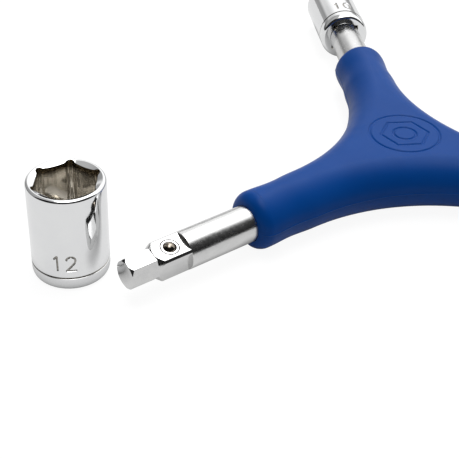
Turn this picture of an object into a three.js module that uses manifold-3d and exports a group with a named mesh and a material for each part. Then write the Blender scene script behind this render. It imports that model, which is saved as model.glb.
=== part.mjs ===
// A three-armed socket wrench lying on a bench, with the loose socket of its drive arm beside the tip.
// Millimetres, +Z up. The origin is the hub's centre on the surface that the tool lies on,
// and +X runs from the hub along the drive arm.

import * as THREE from "three";
import { mergeVertices } from "three/addons/utils/BufferGeometryUtils.js";
import Module from "manifold-3d";

const wasm = await Module();
wasm.setup();

// Moulded handle
const HANDLE_THICKNESS = 13.2;
const HANDLE_REACH = 45.8; // hub axis to the end face of an arm
const ARM_END_WIDTH = 13.3;
const ARM_END_ROUNDING = 2.7;
const ARM_WAIST = 0.35; // how far an arm's side is drawn in between notch and end
const TOP_FLAT_WIDTH = 1; // flat left along the top and underside of an arm
const NOTCH_DEPTH = 15.05; // hub axis to the bottom of the notch between two arms
const NOTCH_RADIUS = 46.7;
const SECTION_POWER = 1.8; // 2 would round the sides as an ellipse, less makes them leaner

// Shafts, with a flattened inner end that the moulding grips
const SHAFT_DIAMETER = 8.2;
const SHAFT_INNER = 9.5; // hub axis to the inner end
const SHAFT_REACH = 62.4; // hub axis to the shoulder that a socket seats on
const PADDLE_LENGTH = 13;
const PADDLE_WIDTH = 10.6;
const PADDLE_THICKNESS = 5;
const PADDLE_BEVEL = 1.2;
const PADDLE_TAPER = 3; // length over which the flattened end grows back to the round bar
const MOULD_GAP = 0.25;

// Square drive with a hexagon key as its tip
const DRIVE_SQUARE = 6.3;
const DRIVE_LENGTH = 6.35; // shoulder to the slope on the square's corners
const STEP_LENGTH = 1.2;
const STEP_END_DIAMETER = 6.2; // across the corners where the slope runs out
const TIP_HEX = 6;
const TIP_LENGTH = 6.15;
const TIP_CHAMFER_LENGTH = 0.7; // measured along a corner of the hexagon
const TIP_END_DIAMETER = 5.9;
const DRIVE_CLOCKING = THREE.MathUtils.degToRad(-14); // turn of the drive shaft about its own axis

// Spring-loaded ball in the top flat of the square
const BALL_DIAMETER = 3;
const BALL_SETBACK = 3.5; // shoulder to the ball's centre
const BALL_PROUD = 0.8; // how far the ball stands out of the flat
const BALL_GAP = 0.08; // between the ball and the staked mouth of its hole
const BALL_HOLE_PLAY = 0.12; // between the ball and the wall of its hole
const BALL_HOLE_FLOOR = 1.15; // steel left under the hole
const SPRING_DIAMETER = 2.5;
const SPRING_WIRE = 0.4;
const SPRING_TURNS = 3.25;
const SPRING_GAP = 0.1; // to the ball and to the hole's floor

// Sockets
const SOCKET_LENGTH = 21.8;
const LOOSE_HEX = 12; // nominal width across flats of each socket's mouth
const MIDDLE_HEX = 10;
const SMALL_HEX = 8;
const LOOSE_OUTER = 16.2;
const MIDDLE_OUTER = 13.1;
const SMALL_OUTER = 11.9;
const HEX_PLAY = 0.2; // added to the nominal width across flats
const CORNER_RELIEF_RADIUS = 1.05;
const CORNER_RELIEF_REACH = 0.2; // how far the relief passes the sharp hexagon corner
const RIM_LIP = 0.75; // wall left at the mouth outside the lead-in
const RIM_ROUNDING = 0.35;
const LEAD_IN_ANGLE = THREE.MathUtils.degToRad(9); // the shallow lead-in, measured from the end face
const DRIVE_HOLE_DEPTH = 8;
const SQUARE_PLAY = 0.15; // on each side of the square in a socket
const TIP_PASSAGE_PLAY = 0.1; // round the tip's corners in the drilled hole that the square is broached from
const SEAT_GAP = 0.3; // between a fixed socket and the shaft's shoulder
const FIXED_SQUARE_LENGTH = 7.4;
const FIXED_SQUARE_CHAMFER = 0.5;
const BASE_ROUNDING_IN = 0.9; // rounding of the base, across and along the socket's axis
const BASE_ROUNDING_UP = 1.6;
const GROOVE_HEIGHT = 3.1; // base to the middle of the turned groove
const GROOVE_WIDTH = 0.5;
const GROOVE_DEPTH = 0.22;
const DETENT_GROOVE_WIDTH = 2.6; // ring in the loose socket's drive hole that the ball drops into
const SOCKET_STAND_AHEAD = 3.1; // loose socket's axis past the end of the tip
const SOCKET_STAND_GAP = 4.45; // loose socket to the tip's corner
const SOCKET_STAND_TURN = THREE.MathUtils.degToRad(52);

// Fineness of the faces
const ROUND_STEPS = 36;
const HOLE_STEPS = 24;
const NOTCH_STEPS = 8;
const SIDE_STEPS = 4;
const END_STEPS = 4;
const SECTION_STEPS = 14;
const CORNER_STEPS = 4;
const BASE_STEPS = 4;
const COIL_STEPS = 8;
const COIL_SIDES = 5;

const ARM_SPACING = (2 * Math.PI) / 3;
const AXIS_HEIGHT = HANDLE_THICKNESS / 2;
const SHAFT_RADIUS = SHAFT_DIAMETER / 2;
const TIP_START = SHAFT_REACH + DRIVE_LENGTH + STEP_LENGTH;
const TIP_END = TIP_START + TIP_LENGTH;
const TIP_CORNER_RADIUS = TIP_HEX / Math.sqrt(3);

const blueMoulding = new THREE.MeshStandardMaterial({ color: 0x20418f, roughness: 0.5, metalness: 0 });
const satinSteel = new THREE.MeshStandardMaterial({ color: 0xc4c5c6, roughness: 0.3, metalness: 1 });
const chrome = new THREE.MeshStandardMaterial({ color: 0xd4d6d8, roughness: 0.08, metalness: 1 });
const ballSteel = new THREE.MeshStandardMaterial({ color: 0x8a8072, roughness: 0.2, metalness: 1 });
const springSteel = new THREE.MeshStandardMaterial({ color: 0x77797c, roughness: 0.4, metalness: 1 });

// A closed geometry as a solid that can be cut and joined
function solid(geometry) {
  const bare = geometry.clone();
  bare.deleteAttribute("normal");
  bare.deleteAttribute("uv");
  const merged = mergeVertices(bare, 1e-4);
  return new wasm.Manifold(
    new wasm.Mesh({
      numProp: 3,
      vertProperties: merged.attributes.position.array,
      triVerts: new Uint32Array(merged.index.array),
    }),
  );
}

function geometryOf(body) {
  const mesh = body.getMesh();
  const geometry = new THREE.BufferGeometry();
  geometry.setAttribute("position", new THREE.BufferAttribute(mesh.vertProperties, 3));
  geometry.setIndex(new THREE.BufferAttribute(mesh.triVerts, 1));
  return geometry;
}

function named(name, geometry, material) {
  const mesh = new THREE.Mesh(geometry, material);
  mesh.name = name;
  return mesh;
}

// A profile of [radius, distance along X] pairs turned about the X axis
function turned(profile, steps = ROUND_STEPS) {
  const points = profile.map(([radius, along]) => new THREE.Vector2(radius, along));
  return new THREE.LatheGeometry(points, steps).rotateZ(-Math.PI / 2);
}

// A square or hexagon bar from one place along X to another, with a flat facing up
function flatBar(sides, width, start, end) {
  const halfTurn = Math.PI / sides;
  const corner = width / 2 / Math.cos(halfTurn);
  const profile = [[0, start], [corner, start], [corner, end], [0, end]];
  return turned(profile, sides).rotateX(halfTurn);
}

// One side of an arm in plan, from the notch's bottom on the bisector out to the end face:
// points of the outline, the way into the moulding there, and how much the section has shrunk
function armStations() {
  const stations = [];
  const bisector = ARM_SPACING / 2;
  const notchCentre = new THREE.Vector2(Math.cos(bisector), Math.sin(bisector));
  notchCentre.multiplyScalar(NOTCH_DEPTH + NOTCH_RADIUS);
  const sideEnd = new THREE.Vector2(HANDLE_REACH - ARM_END_ROUNDING, ARM_END_WIDTH / 2);
  const toEnd = sideEnd.clone().sub(notchCentre);
  const firstAngle = bisector + Math.PI;
  const lastAngle = toEnd.angle() - Math.acos(NOTCH_RADIUS / toEnd.length());
  for (let i = 0; i <= NOTCH_STEPS; i++) {
    const angle = THREE.MathUtils.lerp(firstAngle, lastAngle, i / NOTCH_STEPS);
    const inward = new THREE.Vector2(Math.cos(angle), Math.sin(angle));
    const point = notchCentre.clone().addScaledVector(inward, NOTCH_RADIUS);
    stations.push({ point, inward, shrink: 0 });
  }
  const tangent = stations.at(-1);
  for (let i = 1; i <= SIDE_STEPS; i++) {
    const share = i / SIDE_STEPS;
    const waist = ARM_WAIST * Math.sin(Math.PI * share) ** 2;
    const point = tangent.point.clone().lerp(sideEnd, share).addScaledVector(tangent.inward, waist);
    stations.push({ point, inward: tangent.inward, shrink: 0 });
  }
  for (let i = 1; i <= END_STEPS; i++) {
    const angle = (Math.PI / 2) * (i / END_STEPS);
    const shrink = ARM_END_ROUNDING * (1 - Math.cos(angle));
    const point = new THREE.Vector2(sideEnd.x + ARM_END_ROUNDING * Math.sin(angle), sideEnd.y - shrink);
    stations.push({ point, inward: new THREE.Vector2(0, -1), shrink });
  }
  return stations;
}

// Half of the section at a station, from the underside up to the top
function sectionPoints(station, side, armAngle) {
  const points = [];
  const across = ((ARM_END_WIDTH - TOP_FLAT_WIDTH) / 2) * (1 - (2 * station.shrink) / ARM_END_WIDTH);
  const half = AXIS_HEIGHT - station.shrink;
  for (let i = 0; i <= SECTION_STEPS; i++) {
    const angle = Math.PI * (i / SECTION_STEPS - 0.5);
    const inset = across * (1 - Math.abs(Math.cos(angle)) ** (2 / SECTION_POWER));
    const rise = half * Math.sign(angle) * Math.abs(Math.sin(angle)) ** (2 / SECTION_POWER);
    const plan = station.point.clone().addScaledVector(station.inward, inset);
    plan.y *= side;
    plan.rotateAround(new THREE.Vector2(), armAngle);
    points.push(new THREE.Vector3(plan.x, plan.y, AXIS_HEIGHT + rise));
  }
  return points;
}

// The handle's outer skin: both sides of each arm, the strips between them on top and underneath,
// the end faces and the hub's middle
function handleSkin() {
  const stations = armStations();
  const corners = [];
  const face = (a, b, c) => corners.push(a, b, c);
  const quad = (a, b, c, d) => {
    face(a, b, c);
    face(a, c, d);
  };
  const hubTop = [];
  const hubUnder = [];
  for (let arm = 0; arm < 3; arm++) {
    const angle = arm * ARM_SPACING;
    const left = stations.map((station) => sectionPoints(station, 1, angle));
    const right = stations.map((station) => sectionPoints(station, -1, angle));
    for (let j = 0; j + 1 < stations.length; j++) {
      for (let k = 0; k < SECTION_STEPS; k++) {
        quad(left[j][k], left[j][k + 1], left[j + 1][k + 1], left[j + 1][k]);
        quad(right[j][k], right[j + 1][k], right[j + 1][k + 1], right[j][k + 1]);
      }
      quad(right[j].at(-1), right[j + 1].at(-1), left[j + 1].at(-1), left[j].at(-1));
      quad(right[j][0], left[j][0], left[j + 1][0], right[j + 1][0]);
    }
    const rim = [...left.at(-1), ...right.at(-1).toReversed()];
    const middle = new THREE.Vector3(HANDLE_REACH, 0, AXIS_HEIGHT);
    middle.applyAxisAngle(new THREE.Vector3(0, 0, 1), angle);
    rim.forEach((point, i) => face(middle, point, rim[(i + 1) % rim.length]));
    hubTop.push(left[0].at(-1));
    hubUnder.push(left[0][0]);
  }
  face(...hubTop);
  face(...hubUnder.toReversed());
  return new THREE.BufferGeometry().setFromPoints(corners);
}

// The round bar with its flattened inner end, grown by a gap for the space that it takes in the moulding
function shaftInsert(gap, outerProfile) {
  const barStart = SHAFT_INNER + PADDLE_LENGTH - PADDLE_TAPER;
  const bar = turned([
    [0, barStart - gap],
    [PADDLE_THICKNESS / 2 + gap, barStart - gap],
    [SHAFT_RADIUS + gap, barStart + PADDLE_TAPER - gap],
    ...outerProfile,
  ]);
  const half = PADDLE_WIDTH / 2 + gap;
  const inner = SHAFT_INNER - gap;
  const outer = SHAFT_INNER + PADDLE_LENGTH + gap;
  const outline = new THREE.Shape([
    new THREE.Vector2(inner, PADDLE_BEVEL - half),
    new THREE.Vector2(inner + PADDLE_BEVEL, -half),
    new THREE.Vector2(outer - PADDLE_BEVEL, -half),
    new THREE.Vector2(outer, PADDLE_BEVEL - half),
    new THREE.Vector2(outer, half - PADDLE_BEVEL),
    new THREE.Vector2(outer - PADDLE_BEVEL, half),
    new THREE.Vector2(inner + PADDLE_BEVEL, half),
    new THREE.Vector2(inner, half - PADDLE_BEVEL),
  ]);
  const depth = PADDLE_THICKNESS + 2 * gap;
  const paddle = new THREE.ExtrudeGeometry(outline, { depth, bevelEnabled: false });
  paddle.translate(0, 0, -depth / 2);
  return solid(bar).add(solid(paddle));
}

// The space that a shaft takes up in the handle
function shaftPocket(clocking, armAngle) {
  const past = HANDLE_REACH + SHAFT_RADIUS;
  const pocket = shaftInsert(MOULD_GAP, [
    [SHAFT_RADIUS + MOULD_GAP, past],
    [0, past],
  ]);
  const placed = geometryOf(pocket).rotateX(clocking).translate(0, 0, AXIS_HEIGHT).rotateZ(armAngle);
  return solid(placed);
}

function handle() {
  let body = solid(handleSkin());
  for (const [arm, clocking] of [[0, DRIVE_CLOCKING], [1, 0], [-1, 0]]) {
    body = body.subtract(shaftPocket(clocking, arm * ARM_SPACING));
  }
  return geometryOf(body);
}

// Leaves the round shaft whole up to its shoulder and cuts the rest down to the square bar
function cutSquare(round, square) {
  const behind = turned([
    [0, 0],
    [SHAFT_DIAMETER, 0],
    [SHAFT_DIAMETER, SHAFT_REACH],
    [0, SHAFT_REACH],
  ]);
  return round.intersect(solid(behind).add(square));
}

// Heights above the drive shaft's axis, along the way that the ball moves
const FLAT_HEIGHT = DRIVE_SQUARE / 2;
const BALL_RADIUS = BALL_DIAMETER / 2;
const BALL_HEIGHT = FLAT_HEIGHT + BALL_PROUD - BALL_RADIUS;
const BALL_REACH = SHAFT_REACH + BALL_SETBACK;
const HOLE_FLOOR_HEIGHT = BALL_HOLE_FLOOR - FLAT_HEIGHT;

// The ball's blind hole, drawn in at the flat where the steel is staked over the ball
function ballHole() {
  const wall = BALL_RADIUS + BALL_HOLE_PLAY;
  const depth = FLAT_HEIGHT - BALL_HEIGHT;
  const mouth = Math.sqrt(BALL_RADIUS ** 2 - depth ** 2) + BALL_GAP;
  const profile = [
    [0, HOLE_FLOOR_HEIGHT],
    [wall, HOLE_FLOOR_HEIGHT],
    [wall, BALL_HEIGHT + depth / 3],
    [mouth, FLAT_HEIGHT],
    [mouth, FLAT_HEIGHT + BALL_DIAMETER],
    [0, FLAT_HEIGHT + BALL_DIAMETER],
  ];
  return turned(profile, HOLE_STEPS).rotateY(-Math.PI / 2).translate(BALL_REACH, 0, 0);
}

// The hexagon key ahead of the square, its end turned down to a round face
function hexTip() {
  const hexagon = flatBar(6, TIP_HEX, TIP_START, TIP_END + TIP_LENGTH);
  const coneStart = 2 * TIP_CORNER_RADIUS - TIP_END_DIAMETER / 2;
  const round = turned([
    [0, TIP_START],
    [coneStart, TIP_START],
    [coneStart, TIP_END - 2 * TIP_CHAMFER_LENGTH],
    [TIP_END_DIAMETER / 2, TIP_END],
    [0, TIP_END],
  ]);
  return solid(hexagon).intersect(solid(round));
}

function driveShaft() {
  const round = shaftInsert(0, [
    [SHAFT_RADIUS, SHAFT_REACH + DRIVE_LENGTH],
    [STEP_END_DIAMETER / 2, TIP_START],
    [0, TIP_START],
  ]);
  const square = solid(flatBar(4, DRIVE_SQUARE, SHAFT_INNER, TIP_END));
  const body = cutSquare(round, square).add(hexTip());
  return geometryOf(body.subtract(solid(ballHole())));
}

function fixedShaft() {
  const end = SHAFT_REACH + FIXED_SQUARE_LENGTH;
  const round = shaftInsert(0, [
    [SHAFT_RADIUS, end - FIXED_SQUARE_CHAMFER],
    [SHAFT_RADIUS - FIXED_SQUARE_CHAMFER, end],
    [0, end],
  ]);
  const square = solid(flatBar(4, DRIVE_SQUARE, SHAFT_INNER, end + FIXED_SQUARE_LENGTH));
  return geometryOf(cutSquare(round, square));
}

function detentBall() {
  return new THREE.SphereGeometry(BALL_RADIUS, 16, 12).translate(BALL_REACH, 0, BALL_HEIGHT);
}

class Helix extends THREE.Curve {
  constructor(radius, turns, low, high) {
    super();
    Object.assign(this, { radius, turns, low, high });
  }

  getPoint(t, target = new THREE.Vector3()) {
    const angle = 2 * Math.PI * this.turns * t;
    const height = THREE.MathUtils.lerp(this.low, this.high, t);
    return target.set(this.radius * Math.cos(angle), this.radius * Math.sin(angle), height);
  }
}

// The coil stands on the hole's floor, and its last turn cups the ball
function detentSpring() {
  const wire = SPRING_WIRE / 2;
  const radius = SPRING_DIAMETER / 2 - wire;
  const clearOfBall = BALL_RADIUS + wire + SPRING_GAP;
  const high = BALL_HEIGHT - Math.sqrt(clearOfBall ** 2 - radius ** 2);
  const low = HOLE_FLOOR_HEIGHT + wire + SPRING_GAP;
  const corners = [];
  for (let i = 0; i < COIL_SIDES; i++) {
    const angle = (2 * Math.PI * i) / COIL_SIDES;
    corners.push(new THREE.Vector2(wire * Math.cos(angle), wire * Math.sin(angle)));
  }
  const coil = new THREE.ExtrudeGeometry(new THREE.Shape(corners), {
    steps: Math.ceil(SPRING_TURNS * COIL_STEPS),
    extrudePath: new Helix(radius, SPRING_TURNS, low, high),
    bevelEnabled: false,
  });
  return coil.translate(BALL_REACH, 0, 0);
}

// Hexagon mouth with a round relief at each corner
function hexOutline(acrossFlats) {
  const apothem = acrossFlats / 2;
  const slope = Math.PI / 6;
  const centre = apothem / Math.cos(slope) + CORNER_RELIEF_REACH - CORNER_RELIEF_RADIUS;
  const spread = slope + Math.acos((apothem - centre * Math.cos(slope)) / CORNER_RELIEF_RADIUS);
  const points = [];
  for (let corner = 0; corner < 6; corner++) {
    const facing = (corner * Math.PI) / 3;
    for (let i = 0; i <= CORNER_STEPS; i++) {
      const angle = facing + spread * ((2 * i) / CORNER_STEPS - 1);
      const y = centre * Math.cos(facing) + CORNER_RELIEF_RADIUS * Math.cos(angle);
      const z = centre * Math.sin(facing) + CORNER_RELIEF_RADIUS * Math.sin(angle);
      points.push(new THREE.Vector2(y, z));
    }
  }
  return new THREE.Shape(points);
}

function socketBody(outer) {
  const radius = outer / 2;
  const base = [];
  for (let i = 0; i <= BASE_STEPS; i++) {
    const angle = (Math.PI / 2) * (i / BASE_STEPS);
    const inset = BASE_ROUNDING_IN * (1 - Math.sin(angle));
    base.push([radius - inset, BASE_ROUNDING_UP * (1 - Math.cos(angle))]);
  }
  return turned([
    [0, 0],
    ...base,
    [radius, GROOVE_HEIGHT - GROOVE_WIDTH / 2],
    [radius - GROOVE_DEPTH, GROOVE_HEIGHT],
    [radius, GROOVE_HEIGHT + GROOVE_WIDTH / 2],
    [radius, SOCKET_LENGTH - RIM_ROUNDING],
    [radius - RIM_ROUNDING, SOCKET_LENGTH],
    [0, SOCKET_LENGTH],
  ]);
}

// A socket along X with its base at the origin and its mouth ahead
function socketBlank(hex, outer) {
  const past = SOCKET_LENGTH + outer;
  const hexHole = new THREE.ExtrudeGeometry(hexOutline(hex + HEX_PLAY), {
    depth: past - DRIVE_HOLE_DEPTH,
    bevelEnabled: false,
  });
  hexHole.rotateY(Math.PI / 2).translate(DRIVE_HOLE_DEPTH, 0, 0);
  const mouth = outer / 2 - RIM_LIP;
  const slope = Math.tan(LEAD_IN_ANGLE);
  const leadIn = turned([
    [0, SOCKET_LENGTH - mouth * slope],
    [mouth + outer, SOCKET_LENGTH + outer * slope],
    [0, SOCKET_LENGTH + outer * slope],
  ]);
  const width = DRIVE_SQUARE + 2 * SQUARE_PLAY;
  const squareHole = flatBar(4, width, -DRIVE_HOLE_DEPTH, 2 * DRIVE_HOLE_DEPTH);
  const body = solid(socketBody(outer)).subtract(solid(hexHole));
  return body.subtract(solid(leadIn)).subtract(solid(squareHole));
}

function fixedSocket(hex, outer) {
  return geometryOf(socketBlank(hex, outer));
}

// The removable socket lets the tip through, and has a ring that the ball drops into
function removableSocket() {
  const passage = TIP_CORNER_RADIUS + TIP_PASSAGE_PLAY;
  const ringBottom = FLAT_HEIGHT + BALL_PROUD + BALL_GAP;
  const drilled = turned([
    [0, -DRIVE_HOLE_DEPTH],
    [passage, -DRIVE_HOLE_DEPTH],
    [passage, BALL_SETBACK - DETENT_GROOVE_WIDTH / 2],
    [ringBottom, BALL_SETBACK],
    [passage, BALL_SETBACK + DETENT_GROOVE_WIDTH / 2],
    [passage, 2 * DRIVE_HOLE_DEPTH],
    [0, 2 * DRIVE_HOLE_DEPTH],
  ], HOLE_STEPS);
  return geometryOf(socketBlank(LOOSE_HEX, LOOSE_OUTER).subtract(solid(drilled)));
}

// A group along one arm's axis
function armGroup(arm) {
  const group = new THREE.Group();
  group.position.z = AXIS_HEIGHT;
  group.rotation.z = arm * ARM_SPACING;
  return group;
}

// A shaft with a socket that stays on it, on the arm that many places round from the drive arm
function fixedArm(place, shaftName, socketName, hex, outer) {
  const group = armGroup(place);
  const head = named(socketName, fixedSocket(hex, outer), chrome);
  head.position.x = SHAFT_REACH + SEAT_GAP;
  group.add(named(shaftName, fixedShaft(), satinSteel), head);
  return group;
}

const wrench = new THREE.Group();
wrench.add(named("handle", handle(), blueMoulding));

const driveArm = armGroup(0);
const driveLeg = new THREE.Group();
driveLeg.rotation.x = DRIVE_CLOCKING;
driveLeg.add(named("drive_shaft", driveShaft(), satinSteel));
driveLeg.add(named("detent_ball", detentBall(), ballSteel));
driveLeg.add(named("detent_spring", detentSpring(), springSteel));
driveArm.add(driveLeg);
wrench.add(driveArm);

wrench.add(fixedArm(-1, "shaft_10mm", "socket_10mm", MIDDLE_HEX, MIDDLE_OUTER));
wrench.add(fixedArm(1, "shaft_8mm", "socket_8mm", SMALL_HEX, SMALL_OUTER));

// The loose socket stands on its base beside the tip, mouth up
const looseSocket = named("socket_12mm", removableSocket(), chrome);
looseSocket.rotation.y = -Math.PI / 2;
const stand = new THREE.Group();
stand.position.x = TIP_END + SOCKET_STAND_AHEAD;
stand.position.y = -(TIP_CORNER_RADIUS + SOCKET_STAND_GAP + LOOSE_OUTER / 2);
stand.rotation.z = SOCKET_STAND_TURN;
stand.add(looseSocket);
wrench.add(stand);

export default wrench;
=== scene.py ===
"""A three-armed socket wrench lying on a pale floor, with its loose socket standing beside the drive's tip.

Lengths are written in millimetres and turned into metres where the meshes are made.
"""

import math

import bmesh
import bpy
import numpy as np
from mathutils import Matrix, Vector
from mathutils.geometry import delaunay_2d_cdt


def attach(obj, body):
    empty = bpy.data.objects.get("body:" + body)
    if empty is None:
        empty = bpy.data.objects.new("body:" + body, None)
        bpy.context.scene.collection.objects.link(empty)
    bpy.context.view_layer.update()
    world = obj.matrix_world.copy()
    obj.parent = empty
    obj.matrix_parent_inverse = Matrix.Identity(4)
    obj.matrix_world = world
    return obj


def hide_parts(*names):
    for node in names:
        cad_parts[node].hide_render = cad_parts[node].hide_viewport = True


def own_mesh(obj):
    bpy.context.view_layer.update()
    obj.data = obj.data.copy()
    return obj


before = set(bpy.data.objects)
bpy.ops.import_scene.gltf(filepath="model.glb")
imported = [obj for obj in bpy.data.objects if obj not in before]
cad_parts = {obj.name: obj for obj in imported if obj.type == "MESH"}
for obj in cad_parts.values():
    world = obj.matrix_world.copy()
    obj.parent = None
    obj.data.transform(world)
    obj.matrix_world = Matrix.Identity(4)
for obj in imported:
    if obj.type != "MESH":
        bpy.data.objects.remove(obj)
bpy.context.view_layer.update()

MM = 0.001

# Moulded handle
HANDLE_THICKNESS = 13.2
HANDLE_REACH = 45.8
ARM_END_WIDTH = 13.3
ARM_END_ROUNDING = 2.7
ARM_WAIST = 0.35
TOP_FLAT_WIDTH = 1.0
NOTCH_DEPTH = 15.05
NOTCH_RADIUS = 46.7
SECTION_POWER = 1.8
PARTING_HEIGHT = 0.09  # flash left where the two halves of the mould met
PARTING_WIDTH = 0.11
HOLE_PLAY = 0.06  # left open round a shaft where it enters the moulding
HOLE_EDGE = 0.12  # rounding there

# Sign moulded into the hub's top: a nut in a ring
SIGN_DISC = 8.9
SIGN_RING_RADIUS = 8.0
SIGN_HEX_RADIUS = 5.6  # across corners, halved
SIGN_BORE_RADIUS = 2.6
SIGN_LINE = 0.5
SIGN_DEPTH = 0.22
SIGN_EDGE = 0.28  # how wide the slope at a line's side is

# Shafts
SHAFT_RADIUS = 4.1
SHAFT_INNER = 9.5
SHAFT_REACH = 62.4
BAR_RINGS = (HANDLE_REACH - 1, 55.0)
PADDLE_LENGTH = 13.0
PADDLE_WIDTH = 10.6
PADDLE_THICKNESS = 5.0
PADDLE_BEVEL = 1.2
PADDLE_TAPER = 3.0
JUST_BEFORE = 0.01  # from a ring to the one beside it at a step
MOULD_GAP = 0.25
EDGE = 0.12  # rounding of the shafts' machined edges

# Square drive with a hexagon key as its tip
DRIVE_SQUARE = 6.3
DRIVE_END = 68.75
STEP_END_RADIUS = 3.1
TIP_START = 69.95
TIP_HEX = 6.0
TIP_CHAMFER_START = 75.4
TIP_END_RADIUS = 2.95
TIP_END = 76.1
DRIVE_CLOCKING = math.radians(-14)
FIXED_SQUARE_END = 69.8
FIXED_SQUARE_CHAMFER = 0.5

# Ball in the top flat of the square
BALL_RADIUS = 1.5
BALL_REACH = 65.9
BALL_PROUD = 0.8
BALL_GAP = 0.08
BALL_HOLE_PLAY = 0.12
BALL_HOLE_FLOOR = 1.15
SPRING_RADIUS = 1.05  # to the middle of the wire
SPRING_WIRE_RADIUS = 0.2
SPRING_TURNS = 3.25
SPRING_GAP = 0.1  # to the ball and to the hole's floor
STAKE_RADIUS = 1.96  # ring that the staking punch leaves round the ball
STAKE_WIDTH = 0.27
STAKE_DEPTH = 0.15

# Sockets
SOCKET_LENGTH = 21.8
HEX_PLAY = 0.2
RELIEF_RADIUS = 1.05
RELIEF_REACH = 0.2
RIM_LIP = 0.75
RIM_ROUNDING = 0.6
LEAD_IN_ANGLE = math.radians(25)
MOUTH_EDGE = 0.06  # rounding of the hexagon's edge in the mouth
DRIVE_HOLE_DEPTH = 8.0
SQUARE_PLAY = 0.15
TIP_PASSAGE_RADIUS = 3.56  # drilled hole of the removable socket
WALL_TRIM = 0.03  # keeps a smooth round wall inside the plain solid's flat-sided one
BASE_ROUNDING_IN = 0.9
BASE_ROUNDING_UP = 1.6
GROOVE_HEIGHT = 3.1
GROOVE_WIDTH = 0.5
GROOVE_DEPTH = 0.28
RECESS_DEPTH = 0.09  # deeper parts of the groove and the numbers get painted shade
DETENT_HEIGHT = 3.5
DETENT_WIDTH = 2.6
FIXED_SOCKET_BASE = 62.7
FIXED_SOCKETS = ((10, 13.1, -1), (8, 11.9, 1))  # hexagon, outer diameter and arm
LOOSE_SOCKET = (12, 16.2)  # hexagon and outer diameter
SOCKET_STAND = (79.2, -16.014)
SOCKET_STAND_TURN = math.radians(52)

# Engraved size numbers
DIGIT_HEIGHT = 3.4
DIGIT_WIDTH = 1.9
DIGIT_PITCH = 2.9
DIGIT_LINE = 0.34
DIGIT_DEPTH = 0.18
DIGIT_BASE = 5.1  # height of the numbers' foot on a socket
SIZE_FACING = math.radians(-1)  # where the loose socket's number sits, from its own +X

AXIS_HEIGHT = HANDLE_THICKNESS / 2
ARM_SPACING = 2 * math.pi / 3
FLAT_HEIGHT = DRIVE_SQUARE / 2
BALL_HEIGHT = FLAT_HEIGHT + BALL_PROUD - BALL_RADIUS

# Places of the finishes in a steel piece's list of materials
PLATED = 0
GROUND = BORE = 1
# third slot is painted shade: dark steel in the groove, the numbers, the ball's hole, its staking ring and
# on top of the drive's shoulder
PAINTED_SHADE = 2
BORE_FLOOR = 3

# Camera, from the photograph's perspective
CAMERA_AT = (163.4, 143.1, 140.4)
CAMERA_TARGET = (44.33, -7.44, 0.0)
CAMERA_ROLL = math.radians(1.97)
CAMERA_LENS = 84.72
CAMERA_SENSOR = 36.0


# Meshes

class Skin:
    """Vertices and faces of one mesh, gathered sheet by sheet and welded at the end."""

    def __init__(self):
        self.points = []
        self.faces = []
        self.finishes = []

    def add(self, points, faces, finish=0):
        start = len(self.points)
        self.points.extend([tuple(p) for p in points])
        self.faces.extend([[start + i for i in face] for face in faces])
        self.finishes.extend(np.broadcast_to(finish, len(faces)).tolist())

    def sheet(self, grid, around=False, finish=0, flip=False):
        """A grid of rows and columns of points. Seen from outside, rows go up and columns go right.

        The finish is one number, or one for each face as a grid.
        """
        grid = np.asarray(grid, dtype=float)
        rows, columns = grid.shape[:2]
        faces = []
        for i in range(rows - 1):
            for j in range(columns if around else columns - 1):
                k = (j + 1) % columns
                face = [i * columns + j, i * columns + k, (i + 1) * columns + k, (i + 1) * columns + j]
                faces.append(face[::-1] if flip else face)
        self.add(grid.reshape(-1, 3), faces, np.ravel(finish) if np.ndim(finish) else finish)

    def cap(self, ring, middle, finish=0, flip=False):
        """A fan that closes a ring of points."""
        count = len(ring)
        faces = []
        for j in range(count):
            face = [j, (j + 1) % count, count]
            faces.append(face[::-1] if flip else face)
        self.add([*ring, middle], faces, finish)

    def piece(self, name, materials, matrix=Matrix(), sharp=32):
        mesh = bpy.data.meshes.new(name)
        mesh.from_pydata(self.points, [], self.faces)
        mesh.polygons.foreach_set("material_index", self.finishes)
        work = bmesh.new()
        work.from_mesh(mesh)
        bmesh.ops.remove_doubles(work, verts=work.verts, dist=1e-4)
        bmesh.ops.dissolve_degenerate(work, edges=work.edges, dist=1e-5)
        work.to_mesh(mesh)
        work.free()
        mesh.transform(Matrix.Scale(MM, 4) @ matrix)
        return as_object(name, mesh, materials, sharp)


def as_object(name, mesh, materials, sharp):
    for material in materials:
        mesh.materials.append(material)
    mesh.shade_smooth()
    mesh.set_sharp_from_angle(angle=math.radians(sharp))
    piece = bpy.data.objects.new(name, mesh)
    bpy.context.scene.collection.objects.link(piece)
    return piece


def place(piece, body, slot, *nodes):
    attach(piece, body)
    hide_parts(*nodes)


def steps(start, end, count):
    return list(np.linspace(start, end, count + 1))


def quarter(count):
    return steps(0, math.pi / 2, count)


def rounded_min(a, b, width):
    """The smaller of two lengths, with the edge between them rounded."""
    near = np.maximum(width - np.abs(a - b), 0) / width
    return np.minimum(a, b) - near * near * width / 4


def along_x(along, radius, angle):
    """Points round the X axis, with the angle counted from +Y towards +Z."""
    return np.stack(np.broadcast_arrays(along, radius * np.cos(angle), radius * np.sin(angle)), axis=-1)


def up_z(height, radius, angle):
    return np.stack(np.broadcast_arrays(radius * np.cos(angle), radius * np.sin(angle), height), axis=-1)


def arm_matrix(arm, clocking=0.0):
    turn = Matrix.Rotation(arm * ARM_SPACING, 4, "Z")
    return turn @ Matrix.Translation((0, 0, AXIS_HEIGHT)) @ Matrix.Rotation(clocking, 4, "X")


# Handle

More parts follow.
